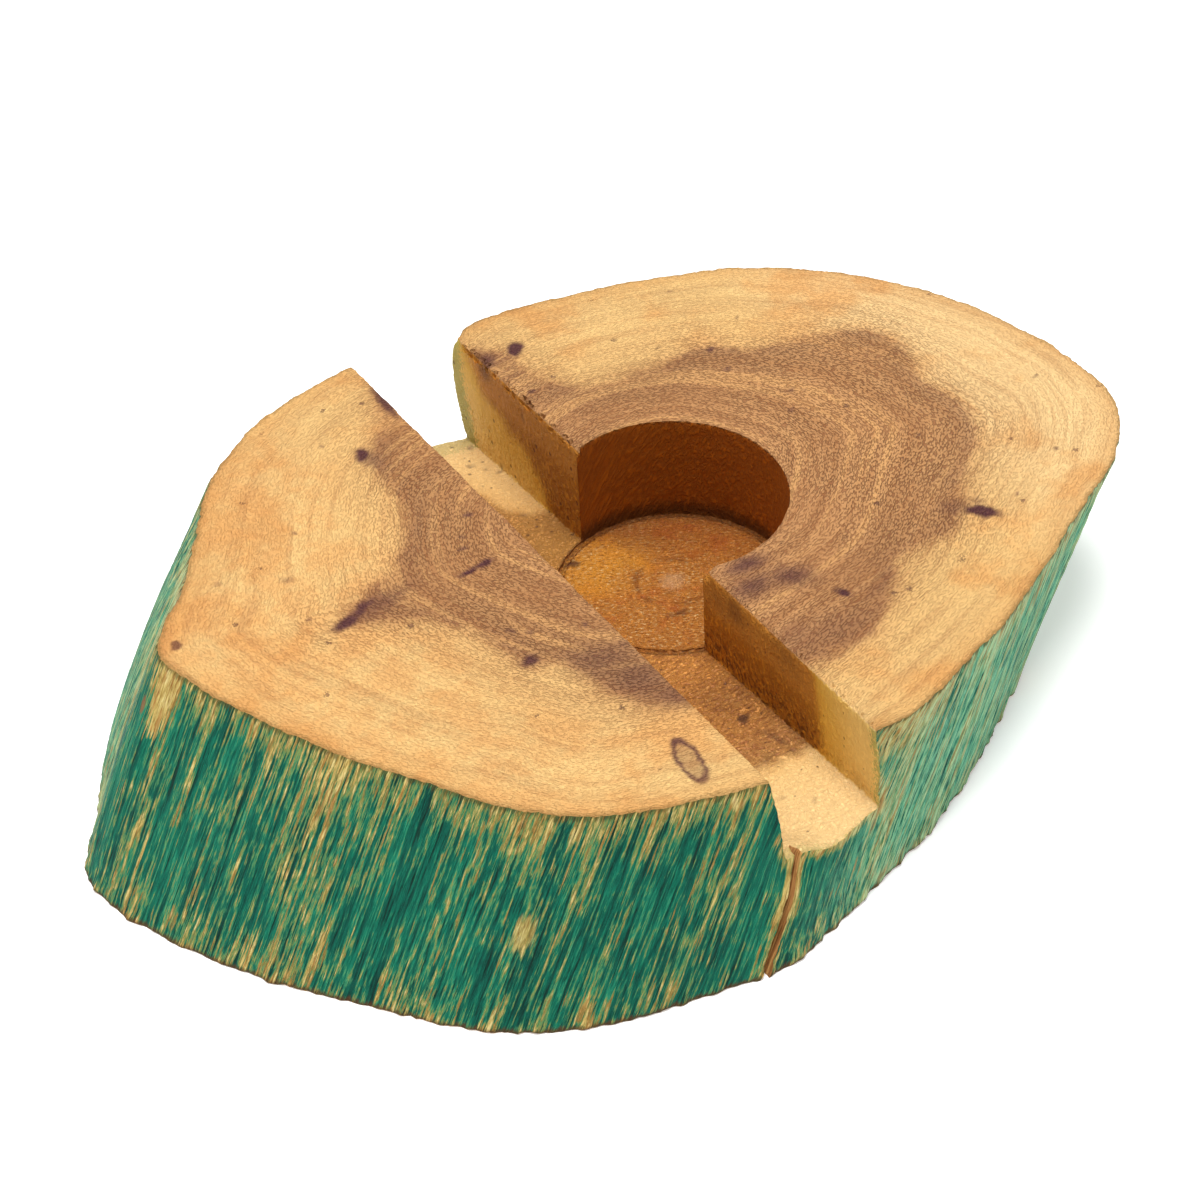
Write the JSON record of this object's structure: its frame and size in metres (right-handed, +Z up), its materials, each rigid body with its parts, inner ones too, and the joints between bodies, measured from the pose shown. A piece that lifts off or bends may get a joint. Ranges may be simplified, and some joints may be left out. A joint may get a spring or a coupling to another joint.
{
  "type": "incense burner",
  "caption": "Slant-cut branch slice with a straight through slot and a round flat-bottomed recess in its sawn top; burns incense on a table.",
  "frame": {"origin": "on the flat base, under the centre of the round recess", "axes": "+Z up; +Y along the slot towards its back mouth; +X from the slot towards the broad lobe that holds the recess"},
  "size_m": [0.1658, 0.1203, 0.0325],
  "materials": {
    "wood": "raw end-grain wood, sanded and lightly oiled, satin on the sawn faces; the debarked sides are stained green and rubbed back to the fibres"
  },
  "bodies": {
    "root": {"wood_block": "wood"}
  },
  "joints": []
}
